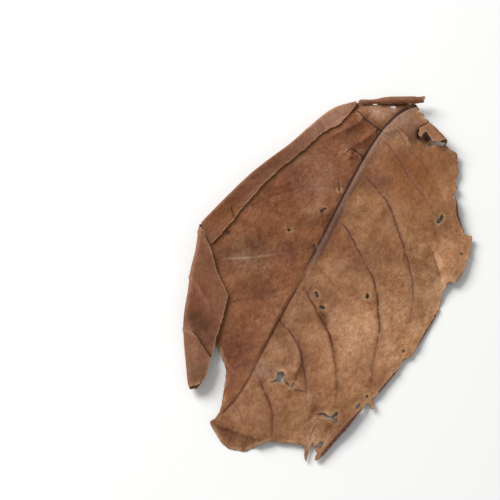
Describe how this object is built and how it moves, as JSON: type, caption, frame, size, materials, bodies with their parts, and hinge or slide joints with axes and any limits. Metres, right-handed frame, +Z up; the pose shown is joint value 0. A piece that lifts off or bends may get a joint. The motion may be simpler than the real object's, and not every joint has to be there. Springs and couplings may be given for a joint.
{
  "type": "dried indian almond leaf",
  "caption": "Dried broad leaf lying flat, blade side up, with sunken midrib and side veins, folded left margin, torn edges and small holes.",
  "frame": {"origin": "middle of the leaf's box in plan, on the ground that it lies on", "axes": "+Y along the midrib from the tip to the broken stalk, +X to the right seen from above, +Z up out of the blade's upper face"},
  "size_m": [0.124, 0.221, 0.0143],
  "materials": {
    "leaf": "matte"
  },
  "bodies": {
    "root": {"leaf": "leaf"}
  },
  "joints": []
}
